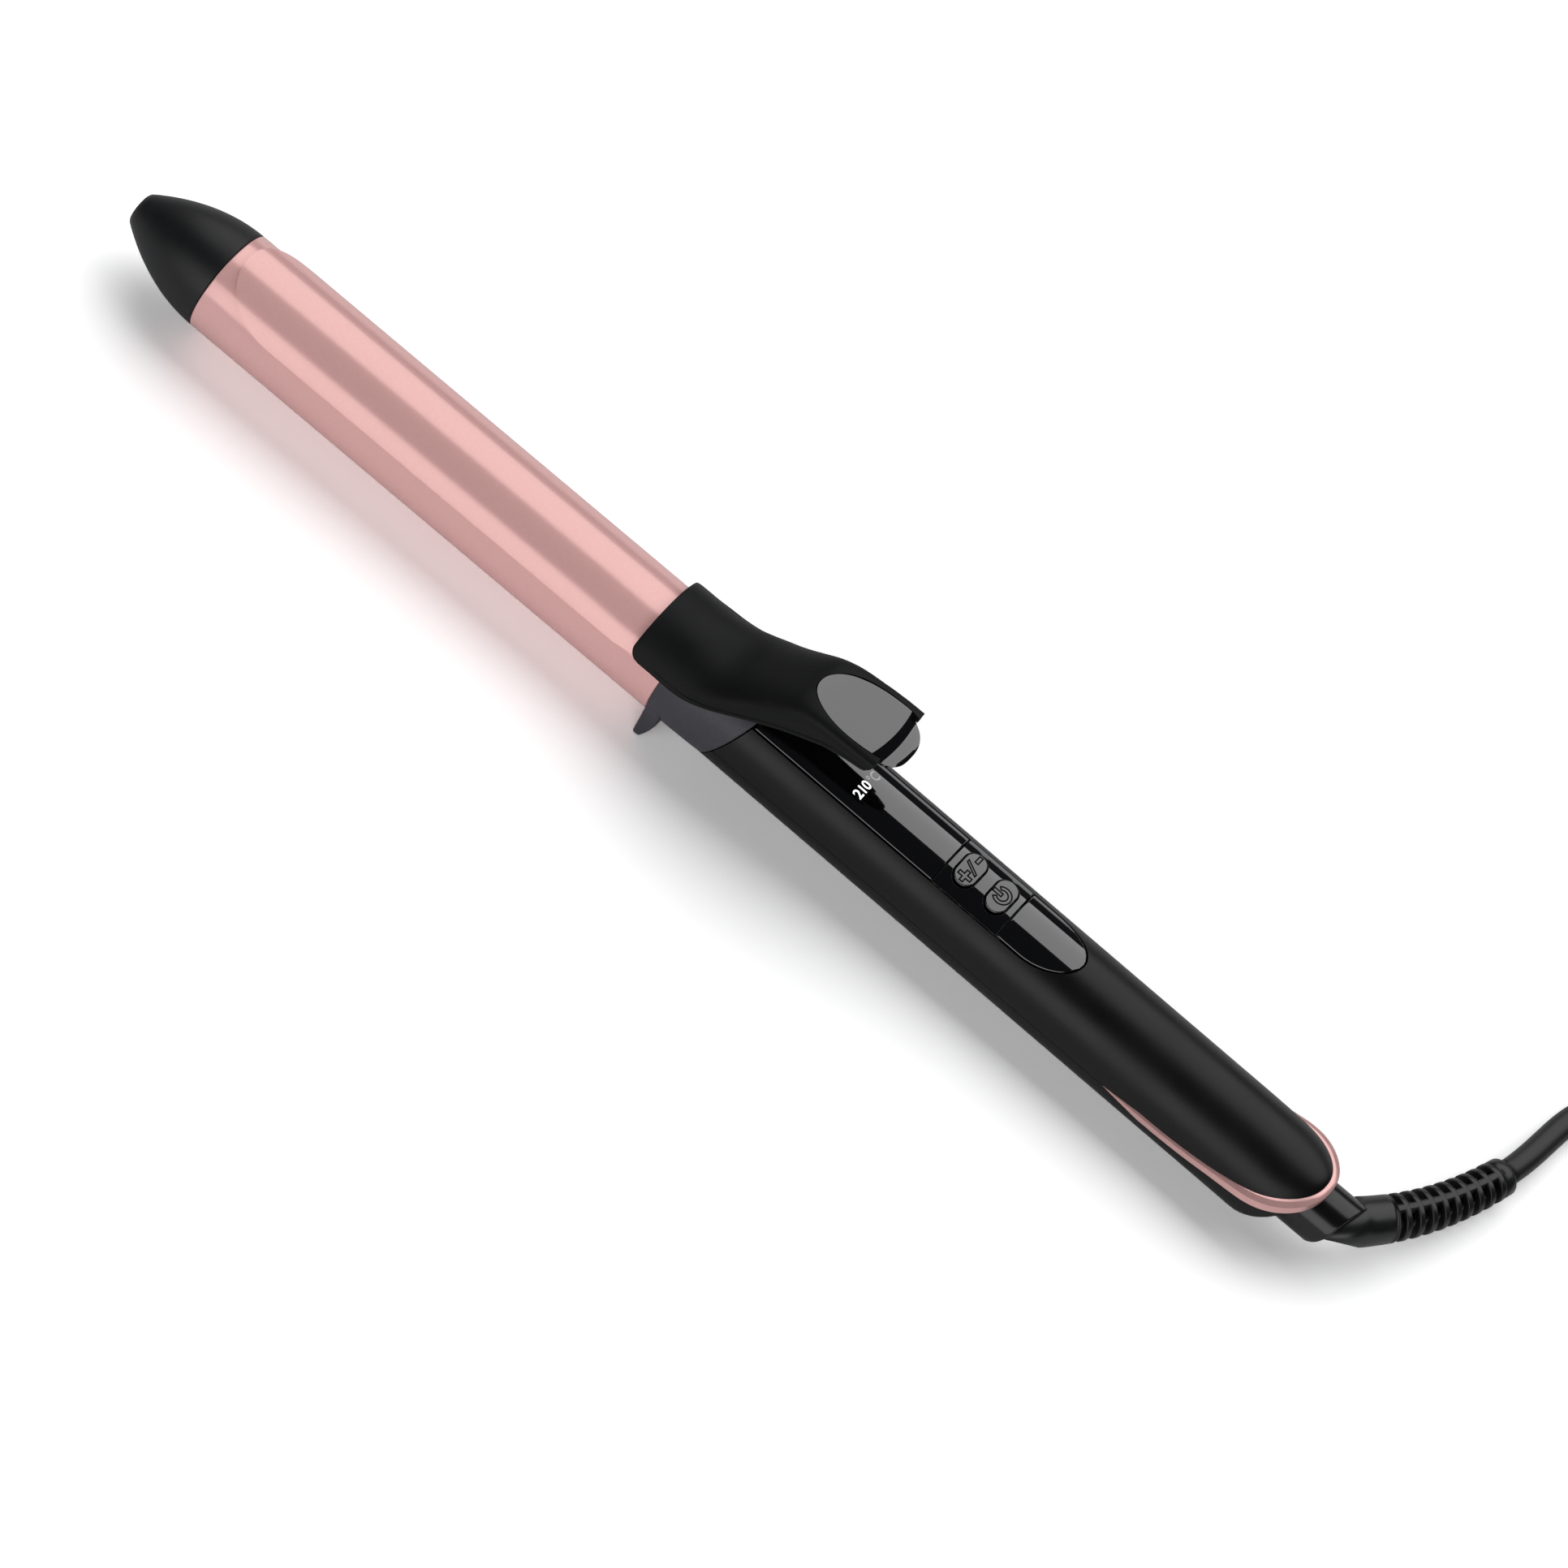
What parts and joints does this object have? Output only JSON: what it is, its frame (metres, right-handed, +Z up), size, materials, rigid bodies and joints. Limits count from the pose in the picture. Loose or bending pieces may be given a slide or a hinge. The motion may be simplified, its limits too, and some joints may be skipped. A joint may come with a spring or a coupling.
{
  "type": "curling iron",
  "caption": "Round heated barrel with a sprung curved clip on a raised thumb lever, a slim handle with a display and buttons, and a swivelling mains lead.",
  "frame": {"origin": "middle of the tongs' length and width, on the surface that they stand on", "axes": "+X along the barrel from the cool tip to the tail, +Z up through the clip, Y across"},
  "size_m": [0.4788, 0.1253, 0.0473],
  "materials": {
    "heat_resistant_plastic": "fine matte, moulded",
    "coated_barrel": "satin ceramic coating, rose gold",
    "coated_clip": "satin ceramic coating, rose gold",
    "cast_aluminium": "extruded",
    "heater_ceramic": "ceramic in polyimide film",
    "sensor_glass": "glass bead",
    "fuse_metal": "drawn can",
    "mica_sleeve": "rolled mica",
    "collar_plastic": "satin, moulded",
    "zinc_steel": "zinc plated",
    "spring_steel": "bright wire",
    "matte_cover": "soft-touch matte",
    "matte_handle": "soft-touch matte",
    "gloss_black": "polished",
    "smoked_window": "polished smoked acrylic",
    "metallised_ring": "vacuum-metallised, rose gold",
    "button_plastic": "polished",
    "circuit_laminate": "solder mask",
    "display_white": "moulded",
    "switch_plastic": "moulded",
    "component_plastic": "coated",
    "lead_silicone": "silicone",
    "contact_brass": "bare",
    "swivel_plastic": "satin, moulded",
    "cord_rubber": "satin PVC",
    "tie_fabric": "hook-and-loop tape",
    "plug_plastic": "satin PVC",
    "pin_brass": "nickel plated"
  },
  "bodies": {
    "handle": {"cool_tip": "heat_resistant_plastic", "barrel_tube": "coated_barrel", "heat_spreader_upper": "cast_aluminium", "heat_spreader_lower": "cast_aluminium", "ptc_heater": "heater_ceramic", "temperature_sensor": "sensor_glass", "thermal_fuse": "fuse_metal", "insulating_sleeve": "mica_sleeve", "collar": "collar_plastic", "handle_upper_shell": "matte_handle", "handle_lower_shell": "matte_handle", "trim_ring": "metallised_ring", "display_window": "smoked_window", "button_bezel": "gloss_black", "rear_inlay": "gloss_black", "circuit_board": "circuit_laminate", "display_module": "display_white", "tact_switches": "switch_plastic", "board_components": "component_plastic", "board_screws": "zinc_steel", "handle_screws": "zinc_steel", "heater_leads": "lead_silicone", "mains_leads": "lead_silicone", "brush_contacts": "contact_brass", "swivel_bush": "swivel_plastic", "cord_coil": "cord_rubber", "cord_tie": "tie_fabric", "cord_tail": "cord_rubber", "plug_body": "plug_plastic", "plug_pins": "pin_brass"},
    "lever": {"clip_plate": "coated_clip", "clip_rivets": "zinc_steel", "lever_cover": "matte_cover", "thumb_pad": "gloss_black", "hinge_pin": "zinc_steel", "torsion_spring": "spring_steel"},
    "temperature_key": {"temperature_button": "button_plastic"},
    "power_key": {"power_button": "button_plastic"},
    "swivel": {"swivel_neck": "swivel_plastic", "slip_rings": "contact_brass", "strain_relief": "cord_rubber", "cord": "cord_rubber"}
  },
  "joints": [
    {"name": "lever_hinge", "type": "hinge", "parent": "handle", "child": "lever", "pos_m": [-0.0018, 0, 0.02914], "axis": [0, 1, 0], "range_deg": [0, 20], "stiffness_Nm_per_rad": 0.35, "springref_deg": -20.05, "deforming": ["torsion_spring"]},
    {"name": "temperature_press", "type": "slide", "parent": "handle", "child": "temperature_key", "axis": [-0.0161, 0, -0.9999], "range_m": [0, 0.0004], "stiffness_N_per_m": 3000, "springref_m": -0.0001},
    {"name": "power_press", "type": "slide", "parent": "handle", "child": "power_key", "axis": [-0.0161, 0, -0.9999], "range_m": [0, 0.0004], "stiffness_N_per_m": 3000, "springref_m": -0.0001},
    {"name": "cord_swivel", "type": "hinge", "parent": "handle", "child": "swivel", "pos_m": [0.1572, 0, 0.01124], "axis": [1, 0, 0], "continuous": true}
  ]
}
